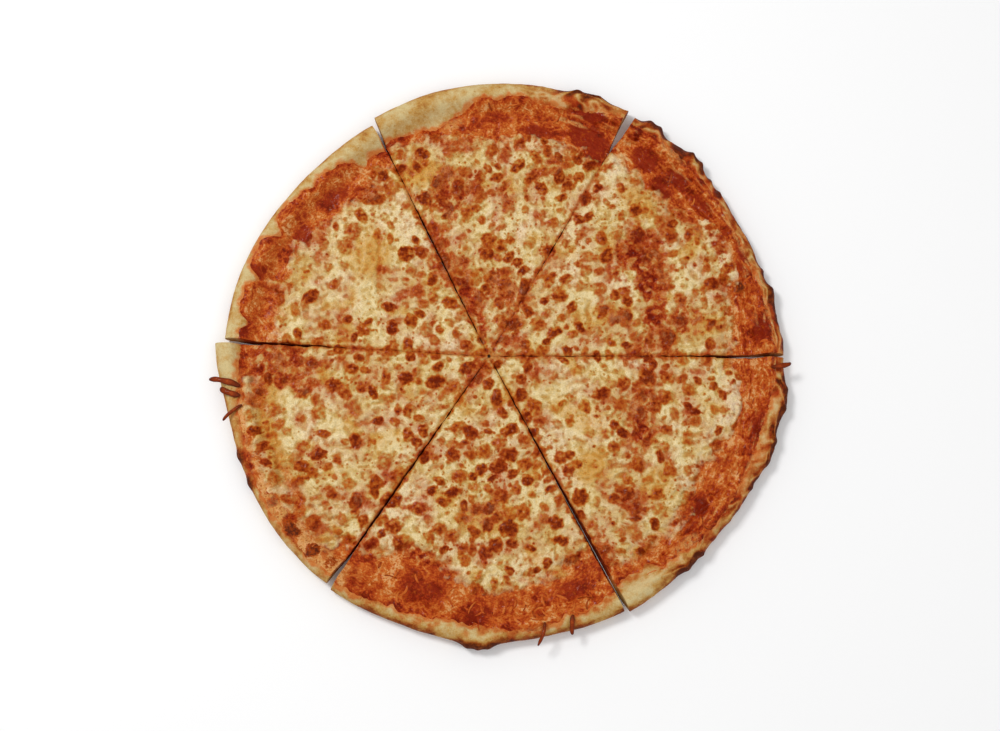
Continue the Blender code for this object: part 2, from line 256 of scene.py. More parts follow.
class Field:
    """Smooth seeded noise on the plane, worked out for whole arrays at once."""

    def __init__(self, seed):
        draw = np.random.default_rng(seed)
        self.order = draw.permutation(256)
        angle = draw.uniform(0.0, math.tau, 256)
        self.slope_x = np.cos(angle)
        self.slope_y = np.sin(angle)

    def corner(self, cell_x, cell_y, x, y):
        pick = self.order[(self.order[cell_x & 255] + cell_y) & 255]
        return self.slope_x[pick] * x + self.slope_y[pick] * y

    def wave(self, x, y):
        """Noise from about -1 to 1 with a wavelength of 1."""
        left = np.floor(x).astype(int)
        below = np.floor(y).astype(int)
        u = x - left
        v = y - below
        fade_u = u * u * u * (u * (u * 6 - 15) + 10)
        fade_v = v * v * v * (v * (v * 6 - 15) + 10)
        low = self.corner(left, below, u, v)
        low += fade_u * (self.corner(left + 1, below, u - 1, v) - low)
        high = self.corner(left, below + 1, u, v - 1)
        high += fade_u * (self.corner(left + 1, below + 1, u - 1, v - 1) - high)
        return 1.4 * (low + fade_v * (high - low))

    def rough(self, x, y, octaves):
        """Noise with finer and finer detail added, from about -1 to 1."""
        total = np.zeros_like(x)
        size = 1.0
        for octave in range(octaves):
            total += size * self.wave(x * 2**octave + 17 * octave, y * 2**octave - 9 * octave)
            size *= 0.5
        return total / (2 - 2 * size)

    def strings(self, x, y, bend=0.6):
        """Thin ridges that wander like strings, from 0 to 1 on their crests."""
        bent_x = x + bend * self.wave(x * 0.7 + 31, y * 0.7 + 5)
        bent_y = y + bend * self.wave(x * 0.7 - 13, y * 0.7 + 47)
        return 1 - np.minimum(1.0, 2.4 * np.abs(self.wave(bent_x, bent_y)))


def clamp(value):
    """The value, held between 0 and 1."""
    return np.clip(value, 0.0, 1.0)


def smooth(low, high, value):
    """A smooth step, 0 at low and 1 at high."""
    t = clamp((value - low) / (high - low))
    return t * t * (3 - 2 * t)


def between(values, share):
    """A smooth curve through evenly spaced values, read at shares from 0 to 1."""
    values = np.asarray(values)
    last = len(values) - 1
    place = clamp(share) * last
    step = np.minimum(place.astype(int), last - 1)
    before, here, there, after = (values[np.clip(step + k, 0, last)] for k in (-1, 0, 1, 2))
    t = place - step
    return 0.5 * (
        2 * here
        + (there - before) * t
        + (2 * before - 5 * here + 4 * there - after) * t**2
        + (3 * here - before - 3 * there + after) * t**3
    )


def rough_noise(seed, x, y, size, octaves):
    """Rough noise from about -1 to 1, of about the given size in millimetres."""
    return Field(seed).rough(x / (size * MM), y / (size * MM), octaves)


def bell(angle, middle, half_width):
    """1 at the middle, fading to both sides."""
    return np.exp(-(((angle - middle) / half_width) ** 2))


def round_rim(angle, size):
    """Distance round the rim, as a multiple of a size in millimetres."""
    return np.radians(angle) * MEAN_REACH / size


def on_plane(angle, reach):
    """x and y from the crossing."""
    turned = np.radians(angle)
    return reach * np.cos(turned), reach * np.sin(turned)


def area_mask(areas, angle, reach, grain=0.0):
    """How strongly each place is in any of the named areas, with edges broken up by grain."""
    mask = np.zeros_like(reach)
    for middle, out, half_length, half_width, strength in areas:
        off = (angle - middle + 180) % 360 - 180
        around = np.radians(off) * reach / (half_length * MM)
        across = (reach - out * MM) / (half_width * MM)
        far = np.sqrt(around**2 + across**2) + 0.45 * grain
        mask = np.maximum(mask, strength * (1 - smooth(0.55, 1.25, far)))
    return mask


def read_along(values, piece, angle):
    """A reach that a slice gives in even steps from cut to cut."""
    return between(values, (angle - piece.start) / (piece.end - piece.start)) * MM


def toasted_side(angle):
    """1 round the right, where the rim is baked darker and rougher, and 0 elsewhere."""
    return clamp(smooth(86.0, 72.0, angle) + smooth(296.0, 322.0, angle))


def rim_reach(piece, angle):
    """Where the rim ends, with its blisters and nubs."""
    reach = read_along(piece.rim, piece, angle)
    for middle, half_width, out in RIM_BLISTERS + RIM_NUBS:
        reach += out * MM * bell(angle, middle, half_width)
    x, y = on_plane(angle, MEAN_REACH * MM)
    ragged = rough_noise(25, x, y, 11, 3)
    return reach + (0.35 + 0.9 * toasted_side(angle)) * MM * ragged


class Blisters:
    """Baked blisters scattered over the cheese, each an uneven dome."""

    def __init__(self, seed, tries, small, large, spacing, palest, darkest):
        draw = np.random.default_rng(seed)
        angle = draw.uniform(0.0, 360.0, tries)
        reach = BLISTER_REACH * MM * np.sqrt(draw.uniform(0.0004, 1.0, tries))
        x, y = on_plane(angle, reach)
        crowd = area_mask(BLISTER_CROWDS, angle, reach)
        patchy = 0.45 * Field(seed + 1).wave(x / (24 * MM), y / (24 * MM))
        density = 0.45 + 0.5 * crowd - 0.4 * area_mask(BARE_AREAS, angle, reach) + patchy
        radius = small + (large - small) * draw.uniform(0.0, 1.0, tries) ** 1.5
        kept = []
        for n in np.nonzero(draw.uniform(0.0, 1.0, tries) < density)[0]:
            room = spacing * (radius[n] + radius[kept])
            if np.all(np.hypot(x[kept] - x[n], y[kept] - y[n]) > room):
                kept.append(n)
        self.x, self.y, self.radius = x[kept], y[kept], radius[kept]
        number = len(kept)
        self.stretch = draw.uniform(0.55, 0.95, number)
        self.turn = draw.uniform(0.0, math.pi, number)
        share = draw.uniform(0.0, 1.0, number) ** 1.4
        browning = palest + (darkest - palest) * share + 0.25 * (density[kept] - 0.5)
        self.browning = np.clip(browning, 0.05, 1.0)
        self.height = draw.uniform(0.4, 1.0, number)

    def read(self, x, y, wobble):
        """Dome height, and browning from 0 to 1, at every place."""
        dome = np.zeros_like(x)
        brown = np.zeros_like(x)
        order = np.argsort(x)
        sorted_x = x[order]
        reach = 1.9 * self.radius
        first = np.searchsorted(sorted_x, self.x - reach)
        last = np.searchsorted(sorted_x, self.x + reach)
        for n in np.nonzero(last > first)[0]:
            here = order[first[n]:last[n]]
            here = here[np.abs(y[here] - self.y[n]) < reach[n]]
            dx = x[here] - self.x[n]
            dy = y[here] - self.y[n]
            along = dx * math.cos(self.turn[n]) + dy * math.sin(self.turn[n])
            across = -dx * math.sin(self.turn[n]) + dy * math.cos(self.turn[n])
            far = np.hypot(along, across / self.stretch[n]) / self.radius[n] + 0.6 * wobble[here]
            rise = 0.27 * self.height[n] * self.radius[n] * (1 - smooth(0.0, 1.2, far))
            dome[here] = np.maximum(dome[here], rise)
            tint = 0.74 * (1 - smooth(0.78, 1.22, far)) + 0.26 * (1 - smooth(0.1, 1.0, far))
            brown[here] = np.maximum(brown[here], self.browning[n] * tint)
        return dome, brown


BIG_BLISTERS = Blisters(5, 3000, 2.7 * MM, 5.2 * MM, 0.74, 0.35, 1.0)
SMALL_BLISTERS = Blisters(7, 2200, 1.1 * MM, 2.2 * MM, 1.1, 0.15, 0.6)
FLECKS = Blisters(9, 8000, 0.4 * MM, 0.8 * MM, 0.5, 0.4, 1.0)


def dough_relief(piece, angle, reach):
    """Bubbles, folds and wrinkles of the baked rim, fading out on the flat bottom and the foot."""
    x, y = on_plane(angle, reach)
    inset = rim_reach(piece, angle) - reach
    toasted = toasted_side(angle)
    share = smooth(0.0, 1.5 * MM, inset) * smooth(30 * MM, 16 * MM, inset)
    bubbles = rough_noise(31, x, y, 12, 3)
    folds = Field(33).strings(round_rim(angle, 13) + 0.3 * bubbles, inset / (5 * MM))
    wrinkles = rough_noise(32, x, y, 3.2, 2)
    uneven = (0.6 + 0.3 * toasted) * bubbles + (0.1 + 0.9 * toasted) * (folds - 0.4)
    uneven += (0.1 + 0.25 * toasted) * wrinkles
    return share * MM * uneven


def dough_top(piece, angle, reach):
    """Height of the dough's upper side: flat under the sauce, then up and over the rim's crown."""
    edge = rim_reach(piece, angle)
    inset = np.maximum(0.0, edge - reach)
    x, y = on_plane(angle, edge)
    crown = RIM_HEIGHT + 1.2 * MM * Field(3).wave(x / (34 * MM), y / (34 * MM))
    climb = clamp((RIM_WIDTH - inset) / (RIM_WIDTH - CROWN_INSET))
    inner = DOUGH_HEIGHT + (crown - DOUGH_HEIGHT) * (1 - np.cos(math.pi * climb)) / 2
    fall = clamp((CROWN_INSET - inset) / CROWN_INSET)
    wall_top = WALL_MIDDLE + WALL_HALF
    outer = wall_top + (crown - wall_top) * np.sqrt(1 - fall**2)
    return np.where(inset >= CROWN_INSET, inner, outer)


def dough_base(piece, angle, reach):
    """Height of the dough's lower side: flat, then up to the rim's wall."""
    inset = np.maximum(0.0, rim_reach(piece, angle) - reach)
    foot = clamp((FOOT_INSET - inset) / FOOT_INSET)
    return (WALL_MIDDLE - WALL_HALF) * (1 - np.sqrt(1 - foot**2))


def sauce_edge(piece, angle):
    """Where the sauce ends, with uneven tongues and bays."""
    across = np.full_like(angle, piece.seed + 0.5)
    ragged = 1.6 * Field(21).rough(angle / 5.0, across, 2)
    ragged += 1.3 * Field(23).rough(angle / 1.7, across, 2)
    lower = smooth(236.0, 246.0, angle) * smooth(330.0, 306.0, angle)
    ragged += 2.6 * lower * Field(26).rough(angle / 2.4, across, 2)
    for middle, half_width, depth in SAUCE_BAYS:
        ragged -= depth * bell(angle, middle, half_width)
    return read_along(piece.sauce, piece, angle) + ragged * MM


def cheese_edge(piece, angle):
    """Where the cheese ends, before its own unevenness."""
    return read_along(piece.cheese, piece, angle)


def sauce_surface(piece, angle, reach):
    """Top of the baked sauce with strings of cheese in it, sunk into the dough at its edge."""
    x, y = on_plane(angle, reach)
    inset = sauce_edge(piece, angle) - reach
    spread = smooth(-0.5 * MM, 4.5 * MM, inset)
    pooled = np.minimum(1.0, area_mask(DARK_RED_AREAS, angle, reach))
    lumps = rough_noise(42, x, y, 6, 3) * (1 - 0.6 * pooled)
    blistered = area_mask(CHAR_SPOTS, angle, reach, 0.5 * lumps)
    relief = (0.35 * sauce_strings(x, y) + 0.6 * lumps + 0.8 * blistered) * MM
    cover = (LAYER_GAP + SAUCE_HEIGHT + relief) * spread
    return dough_top(piece, angle, reach) + dough_relief(piece, angle, reach) + cover - 0.15 * MM


def sauce_strings(x, y):
    """Strings of cheese baked into the sauce, from 0 to 1."""
    fine = Field(41).strings(x / (3.4 * MM), y / (3.4 * MM), 0.9)
    coarse = Field(45).strings(x / (6.5 * MM), y / (6.5 * MM), 0.9)
    return np.maximum(0.8 * fine, coarse) ** 1.5


def food_height(x, y):
    """Height of the sauce or the rim at places given from the crossing."""
    angle = np.degrees(np.arctan2(y, x)) % 360
    reach = np.hypot(x, y)
    height = np.empty_like(x)
    for piece in SLICES:
        here = (angle >= piece.start) & (angle < piece.end)
        crown = rim_reach(piece, angle[here]) - CROWN_INSET
        height[here] = sauce_surface(piece, angle[here], np.minimum(reach[here], crown))
    return height


def from_cuts(piece, angle, reach):
    """Distance to the nearer of the slice's two cuts."""
    nearest = np.minimum(angle - piece.start, piece.end - angle)
    return reach * np.sin(np.radians(np.clip(nearest, 0.0, 90.0)))


def melt(piece, angle, reach):
    """What varies over the cheese: its thickness, how far it is baked, with painted shade in its
    hollows and beside the cuts, and how pink it is.
    """
    x, y = on_plane(angle, reach)
    grain = rough_noise(51, x, y, 6, 3)
    wobble = rough_noise(52, x, y, 4.4, 3)
    broad = rough_noise(53, x, y, 28, 2)
    blush = rough_noise(54, x, y, 14, 3)
    soft = rough_noise(57, x, y, 10, 2)
    oily = rough_noise(58, x, y, 17, 2)
    crisp = rough_noise(60, x, y, 2.4, 2)
    broad_net = np.abs(Field(55).wave(x / (5.6 * MM) + 0.3 * wobble, y / (5.6 * MM) - 0.3 * grain))
    fine_net = np.abs(Field(56).wave(x / (3.4 * MM), y / (3.4 * MM)))
    hollow = np.maximum(smooth(0.18, 0.62, broad_net), smooth(0.3, 0.7, fine_net))
    big, big_brown = BIG_BLISTERS.read(x, y, wobble)
    small, small_brown = SMALL_BLISTERS.read(x, y, wobble)
    flecks = FLECKS.read(x, y, wobble)[1]
    brown = clamp(np.maximum(big_brown, small_brown))
    bare = 1 - clamp(1.6 * brown)
    coast = cheese_edge(piece, angle) - reach + 5.0 * MM * grain + 3.0 * MM * wobble
    coast += 4.0 * MM * soft
    coast += 9.0 * MM * area_mask(OUTER_CHEESE, angle, reach, grain)
    coast = np.minimum(coast, 1.6 * (sauce_edge(piece, angle) - 1.5 * MM - reach))
    shore = smooth(0.0, 11 * MM, coast)
    fringe = 1 - smooth(0.0, 7 * MM, coast + 2.5 * MM * wobble)
    red = area_mask(RED_AREAS, angle, reach, 1.7 * grain)
    red = np.maximum(red, 0.7 * smooth(0.28, 0.6, 0.6 * broad + 0.7 * blush))
    red *= 0.25 + 0.75 * smooth(-0.25, 0.12, rough_noise(64, x, y, 4.6, 2))
    pale = area_mask(PINK_AREAS, angle, reach, 1.3 * grain)
    red = np.clip(red * (1 - 0.8 * pale), 0.0, 1.3)
    gold = area_mask(GOLD_AREAS, angle, reach, 1.4 * grain)
    gold = np.maximum(gold, 0.7 * smooth(0.2, 0.55, oily))
    # Beside the cuts the cheese is lower and darker: the darkening is painted shade along the gap
    # between slices.
    beside_cut = 1 - smooth(0.0, 2.2 * MM, from_cuts(piece, angle, reach) + 1.2 * MM * grain)
    thickness = 2.5 * MM + 0.6 * MM * soft + (0.15 * crisp - 0.55 * hollow) * bare * MM
    thickness += big + small - 0.5 * MM * red - 0.7 * MM * beside_cut**2
    thickness = np.where(coast > 0, thickness * shore**1.2, 0.0)
    thickness -= 0.5 * MM * (1 - smooth(-1 * MM, 2 * MM, coast))
    # The hollows between the cheese strings are browner: partly thinner cheese over the sauce, partly
    # painted shade in the recesses.
    baked = 0.2 * broad + 0.2 * blush + (0.2 * hollow + 0.2 * grain + 0.1 * crisp) * bare
    baked += 0.5 * flecks * bare + brown * (0.9 + 0.85 * crisp + 0.4 * wobble)
    baked += (
        0.58 * red * (1 - 0.6 * brown)
        + pale * bare * (0.5 * crisp + 0.4 * grain - 0.12)
        + 0.06 * gold
        + 0.3 * beside_cut * bare
    )
    pink = clamp(0.3 + 1.2 * blush + 0.3 * crisp - 0.8 * gold)
    mottled = pale * clamp(0.6 + 0.9 * crisp + 0.5 * grain)
    pink = np.maximum(np.maximum(pink, mottled) * (1 - 0.7 * brown), 0.95 * red)
    thin = np.maximum(fringe * (1 - 0.5 * pale), 0.65 * red * (1 - 0.6 * brown))
    redder = 0.45 * (red - 0.7) * np.minimum(1.0, 3 * red)
    return {
        "thickness": thickness,
        "baked": baked,
        "blistered": brown,
        "pink": clamp(pink),
        "oily": gold * (1 - red),
        "thin": clamp(thin),
        "sauce_below": sauce_values(piece, angle, reach)["baked"] + redder,
    }


def sauce_colour(look, colours, tone):
    """The colour of sauce, from cheese baked into it at 0 to dark red at 1."""
    return look.ramp(
        tone,
        (0.0, colours.peach),
        (0.18, colours.apricot),
        (0.42, colours.orange),
        (0.66, colours.rust),
        (0.9, colours.dark_red),
    )


def cut_back(cut, reach):
    """Half the gap of a cut, which closes towards the tips."""
    return between(CUT_GAPS[cut], reach / GAP_REACH) * MM / 2


def cheese_setback(piece, cut, reach, side):
    """How far the cheese stays back from a cut: where the cut isn't open, it leans over the gap."""
    across = np.full_like(reach, piece.seed + side)
    ragged = Field(59).rough(reach / (5 * MM), across, 3)
    opened = between(CUT_OPEN[cut], reach / GAP_REACH) + 0.5 * ragged
    opened = clamp(opened) * smooth(2 * MM, 10 * MM, reach)
    return (0.1 + 0.75 * ragged) * MM * opened - (1 - opened) * (cut_back(cut, reach) - 0.01 * MM)


def select_none():
    if bpy.context.object and bpy.context.object.mode == "EDIT":
        bpy.ops.object.mode_set(mode="OBJECT")
    bpy.ops.object.select_all(action="DESELECT")


def add_cylinder(name, sides, depth):
    """A new upright cylinder of radius 1, named with its mesh."""
    select_none()
    bpy.ops.mesh.primitive_cylinder_add(
        vertices=sides, radius=1.0, depth=depth, end_fill_type="NGON"
    )
    block = bpy.context.object
    block.name = name
    block.data.name = name
    return block


def clear_selection(mesh):
    for part in (mesh.vertices, mesh.edges, mesh.polygons):
        part.foreach_set("select", np.zeros(len(part), bool))


def wedge(name, rows_above, rows_below):
    """A three-sided block whose upper side is cut into many rows and its lower side into few."""
    block = add_cylinder(name, 3, 0.05)
    for side, rows in ((1.0, rows_above), (-1.0, rows_below)):
        for cuts in rows:
            bpy.ops.object.mode_set(mode="OBJECT")
            clear_selection(block.data)
            facing = [face.normal.z * side > 0.9 for face in block.data.polygons]
            block.data.polygons.foreach_set("select", facing)
            bpy.ops.object.mode_set(mode="EDIT")
            bpy.ops.mesh.select_mode(type="FACE")
            bpy.ops.mesh.subdivide(number_cuts=cuts - 1, quadcorner="INNERVERT")
    bpy.ops.mesh.select_all(action="SELECT")
    bpy.ops.mesh.quads_convert_to_tris(ngon_method="BEAUTY")
    bpy.ops.object.mode_set(mode="OBJECT")
    return block


def wedge_places(block):
    """Every corner's row and turn, each from 0 to 1, and whether it is above."""
    count = len(block.data.vertices)
    place = np.empty(count * 3)
    block.data.vertices.foreach_get("co", place)
    place = place.reshape(-1, 3)
    row = (1 - place[:, 1]) / 1.5
    half_width = np.maximum(row * math.sqrt(0.75), 1e-9)
    turn = clamp((place[:, 0] / half_width + 1) / 2)
    turn[row < 1e-6] = 0.5
    return clamp(row), turn, place[:, 2] > 0


def slice_block(kind, piece, rows_above, rows_below):
    """A wedge for a slice, with every corner's row, side, share of the turn and angle."""
    block = wedge(f"{kind}_{piece.name}", rows_above, rows_below)
    row, turn, above = wedge_places(block)
    return block, row, above, turn, piece.start + turn * (piece.end - piece.start)


def lay_out(block, piece, angle, reach, turn, height, at_start, at_end):
    """Moves the corners to their places in the slice, each side set back from its cut."""
    lost_at_start = np.arcsin((cut_back(piece.start_cut, reach) + at_start) / reach)
    lost_at_end = np.arcsin((cut_back(piece.end_cut, reach) + at_end) / reach)
    width = math.radians(piece.end - piece.start) - lost_at_start - lost_at_end
    turned = math.radians(piece.start) + lost_at_start + turn * width
    place = np.empty((len(reach), 3))
    place[:, 0] = CROSSING[0] + reach * np.cos(turned)
    place[:, 1] = CROSSING[1] + reach * np.sin(turned)
    place[:, 2] = height
    block.data.vertices.foreach_set("co", place.ravel())
    block.data.update()


def foot_setback(cut, reach, above):
    """The dough's foot comes closer to the cut than its top, because the cutter pressed it down."""
    opens = 143 * MM if cut == "lower_right" else 126 * MM
    closed = 1 - smooth(opens, opens + 12 * MM, reach)
    return np.where(above, 0.0, (0.12 * MM - cut_back(cut, reach)) * closed)


def add_values(block, values):
    for name, value in values.items():
        layer = block.data.attributes.new(name, "FLOAT", "POINT")
        layer.data.foreach_set("value", np.asarray(value, np.float32))


def finish_piece(block, material, node=None):
    block.data.materials.clear()
    block.data.materials.append(material)
    select_none()
    block.select_set(True)
    bpy.context.view_layer.objects.active = block
    bpy.ops.object.mode_set(mode="EDIT")
    bpy.ops.mesh.select_all(action="SELECT")
    bpy.ops.mesh.quads_convert_to_tris(ngon_method="BEAUTY")
    bpy.ops.mesh.normals_make_consistent(inside=False)
    bpy.ops.object.mode_set(mode="OBJECT")
    bpy.ops.object.shade_smooth_by_angle(angle=math.radians(60))
    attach(block, "root")
    if node:
        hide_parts(node)


class Value:
    """A number that varies over a surface. Arithmetic on it adds the shader's own Math nodes."""

    def __init__(self, surface, socket):
        self.surface = surface
        self.socket = socket

    def maths(self, operation, *values):
        return self.surface.maths(operation, *values)

    def __add__(self, other):
        return self.maths("ADD", self, other)

    __radd__ = __add__

    def __sub__(self, other):
        return self.maths("SUBTRACT", self, other)

    def __rsub__(self, other):
        return self.maths("SUBTRACT", other, self)

    def __mul__(self, other):
        return self.maths("MULTIPLY", self, other)

    __rmul__ = __mul__

    def from_to(self, low, high):
        """0 below low and 1 above high, with a smooth step between them."""
        node = self.surface.add(
            "ShaderNodeMapRange",
            {"interpolation_type": "SMOOTHSTEP"},
            {"Value": self, "From Min": low, "From Max": high},
        )
        return Value(self.surface, node.outputs["Result"])


class Surface:
    """A material that is built up by expressions."""

    def __init__(self, name):
        self.material = bpy.data.materials.new(name)
        self.material.use_nodes = True
        self.tree = self.material.node_tree
        self.shader = self.tree.nodes["Principled BSDF"]
        self.place = self.add("ShaderNodeTexCoord", {}, {}).outputs["Object"]

    def add(self, kind, settings, inputs):
        node = self.tree.nodes.new(kind)
        for key, value in settings.items():
            setattr(node, key, value)
        for key, value in inputs.items():
            self.feed(node.inputs[key], value)
        return node

    def feed(self, socket, value):
        if isinstance(value, Value):
            value = value.socket
        if isinstance(value, bpy.types.NodeSocket):
            self.tree.links.new(value, socket)
        elif hasattr(value, "__len__") and len(value) == 3 and len(socket.default_value) == 4:
            socket.default_value = (*value, 1.0)
        else:
            socket.default_value = value

    def maths(self, operation, *values):
        node = self.add("ShaderNodeMath", {"operation": operation}, dict(enumerate(values)))
        return Value(self, node.outputs[0])

    def read(self, name):
        node = self.add("ShaderNodeAttribute", {"attribute_name": name}, {})
        return Value(self, node.outputs["Fac"])

    def noise(self, size, detail=3.0, roughness=0.55, distortion=0.0):
        """Noise from 0 to 1 with features of about the given size in metres."""
        node = self.add(
            "ShaderNodeTexNoise",
            {},
            {
                "Vector": self.place,
                "Scale": 1 / size,
                "Detail": detail,
                "Roughness": roughness,
                "Distortion": distortion,
            },
        )
        return Value(self, node.outputs["Fac"])

    def speckle(self, colour, depth):
        """The colour with fine grain that darkens it by up to the given depth."""
        darkest = (1 - depth,) * 3
        grain = self.noise(FINEST_GRAIN, 2.0, 0.6)
        grain = self.ramp(grain, (0.36, darkest), (0.56, (1.0, 1.0, 1.0)))
        return self.mix(1.0, colour, grain, "MULTIPLY")

    def mix(self, share, first, second, blend="MIX"):
        node = self.add(
            "ShaderNodeMix",
            {"data_type": "RGBA", "blend_type": blend, "clamp_factor": True},
            {0: share, 6: first, 7: second},
        )
        return node.outputs[2]

    def ramp(self, value, *stops):
        """A colour read from evenly or unevenly placed stops."""
        node = self.tree.nodes.new("ShaderNodeValToRGB")
        marks = node.color_ramp.elements
        while len(marks) < len(stops):
            marks.new(0.5)
        for mark, (place, colour) in zip(marks, stops):
            mark.position = place
            mark.color = (*colour, 1.0)
        self.feed(node.inputs["Fac"], value)
        return node.outputs["Color"]

    def finish(self, colour, roughness, relief, relief_depth, **constants):
        self.feed(self.shader.inputs["Base Color"], colour)
        self.feed(self.shader.inputs["Roughness"], roughness)
        inputs = {"Strength": 1.0, "Distance": relief_depth, "Height": relief}
        bump = self.add("ShaderNodeBump", {}, inputs)
        self.feed(self.shader.inputs["Normal"], bump.outputs["Normal"])
        for key, value in constants.items():
            self.feed(self.shader.inputs[key.replace("_", " ")], value)
        return self.material


def linear(part):
    """One part of a screen colour, from 0 to 255, in the shader's linear values."""
    if part < 11:
        return part / 12.92 / 255
    return ((part / 255 + 0.055) / 1.055) ** 2.4


def colour_property(name, description, default):
    return FloatVectorProperty(
        name=name,
        description=description,
        default=[linear(part) for part in default],
        subtype="COLOR",
        size=3,
        min=0.0,
        max=1.0,
    )


class PizzaColours(bpy.types.PropertyGroup):
    cream: colour_property("Cream", "The palest cheese", (230, 208, 156))
    pale_golden: colour_property("Pale golden", "Cheese just turning", (216, 186, 126))
    golden: colour_property("Golden", "Cheese with oil on it", (200, 164, 96))
    amber: colour_property("Amber", "Cheese starting to brown", (186, 130, 62))
    orange_brown: colour_property("Orange brown", "The edge of a blister", (184, 98, 30))
    brown: colour_property("Brown", "A baked blister", (162, 66, 10))
    dark_brown: colour_property("Dark brown", "The middle of a blister", (108, 26, 0))
    pink_white: colour_property("Pinkish white", "The palest thin cheese", (230, 202, 170))
    blush: colour_property("Blush", "Thin cheese", (212, 174, 136))
    pink: colour_property("Pink", "Thin cheese over sauce", (204, 152, 114))
    salmon: colour_property("Salmon", "Thinner cheese over sauce", (186, 108, 66))
    red: colour_property("Red", "Sauce through the cheese", (168, 66, 32))
    deep_red: colour_property("Deep red", "Baked sauce through the cheese", (142, 38, 12))
    dark_red: colour_property("Dark red", "Pools of dark sauce", (106, 16, 0))
    oil: colour_property("Oil", "Golden oil on the cheese", (206, 140, 44))
    peach: colour_property("Peach", "Cheese strings baked into the sauce", (214, 154, 98))
    apricot: colour_property("Apricot", "Sauce with cheese baked into it", (198, 112, 46))
    orange: colour_property("Orange", "Baked sauce", (184, 80, 24))
    rust: colour_property("Rust", "Darker baked sauce", (152, 44, 10))
    pool: colour_property("Pool", "Smooth pools of sauce", (154, 42, 14))
    deep_pool: colour_property("Deep pool", "The darkest smooth sauce", (118, 22, 4))
    strand: colour_property("Strand", "Browned strands of cheese", (130, 48, 12))
    tan: colour_property("Tan", "Cheese baked thin at the rim", (208, 152, 86))
    char: colour_property("Charred", "The darkest blisters", (88, 32, 14))
    dough: colour_property("Pale dough", "Dough that hasn't browned", (204, 182, 130))
    dough_golden: colour_property("Golden dough", "Lightly browned dough", (187, 141, 72))
    dough_brown: colour_property("Brown dough", "Browned dough", (146, 70, 16))
    dough_toasted: colour_property("Toasted dough", "The darkest edge of the rim", (82, 30, 6))


class PizzaSizes(bpy.types.PropertyGroup):
    cheese_rows: IntProperty(
        name="Cheese rows",
        description="Rows of faces from tip to edge in tens",
        default=30,
        min=4,
        max=40,
    )
    floor_size: FloatProperty(
        name="Floor size", description="Side of the floor", default=4.0, unit="LENGTH"
    )
    lens: FloatProperty(name="Lens", description="Focal length in millimetres", default=60.0)
    distance: FloatProperty(
        name="Camera distance",
        description="From the camera to the pizza",
        default=0.8887,
        unit="LENGTH",
    )
    elevation: FloatProperty(
        name="Camera elevation",
        description="Angle of the camera above the floor",
        default=math.radians(80),
        subtype="ANGLE",
    )


def cheese_material(colours):
    look = Surface("melted_cheese")
    fine = look.noise(0.9 * MM, 3.0, 0.55)
    medium = look.noise(2.6 * MM, 3.0, 0.55)
    tone = look.read("baked") + 0.24 * (fine - 0.5) + 0.3 * (medium - 0.5)
    golden = look.ramp(
        tone,
        (0.0, colours.cream),
        (0.13, colours.pale_golden),
        (0.31, colours.golden),
        (0.52, colours.amber),
        (0.72, colours.orange_brown),
        (0.88, colours.brown),
        (1.0, colours.dark_brown),
    )
    rosy = look.ramp(
        tone,
        (0.0, colours.pink_white),
        (0.15, colours.blush),
        (0.36, colours.pink),
        (0.55, colours.salmon),
        (0.76, colours.red),
        (0.9, colours.deep_red),
        (1.0, colours.dark_red),
    )
    colour = look.mix(look.read("pink"), golden, rosy)
    colour = look.mix(look.read("oily") * tone.from_to(0.85, 0.35) * 0.55, colour, colours.oil)
    below = look.read("sauce_below") + 0.7 * (fine - 0.5) + 0.9 * (medium - 0.5)
    below = sauce_colour(look, colours, below)
    colour = look.mix(look.read("thin"), colour, below)
    colour = look.speckle(colour, 0.24)
    return look.finish(
        colour,
        0.34 + 0.16 * fine - 0.1 * look.read("blistered"),
        fine * 0.5 + medium * 0.5,
        0.5 * MM,
        Specular_IOR_Level=0.05,
        Specular_Tint=(1.0, 0.72, 0.34),
        Coat_Weight=0.08,
        Coat_Roughness=0.1,
    )


def sauce_material(colours):
    look = Surface("tomato_sauce")
    fine = look.noise(0.9 * MM, 3.0, 0.6)
    threads = look.noise(2.4 * MM, 3.0, 0.6, distortion=1.0)
    tone = look.read("baked") + 0.7 * (fine - 0.5) + 0.9 * (threads - 0.5)
    colour = sauce_colour(look, colours, tone)
    pool = look.ramp(0.5 + 0.8 * (threads - 0.5), (0.2, colours.deep_pool), (0.8, colours.pool))
    colour = look.mix(look.read("pooled").from_to(0.3, 0.8) * 0.9, colour, pool)
    colour = look.mix(look.read("tan") * threads.from_to(0.34, 0.58), colour, colours.tan)
    charred = look.read("charred") + 1.9 * (threads - 0.5) + 1.2 * (fine - 0.5)
    colour = look.mix(charred.from_to(0.1, 0.5), colour, colours.brown)
    colour = look.mix(charred.from_to(0.45, 1.1), colour, colours.char)
    colour = look.speckle(colour, 0.2)
    return look.finish(
        colour,
        0.36 + 0.2 * fine,
        fine * 0.4 + threads * 0.6,
        0.25 * MM,
        Specular_IOR_Level=0.1,
        Specular_Tint=(1.0, 0.66, 0.32),
        Coat_Weight=0.08,
        Coat_Roughness=0.12,
    )


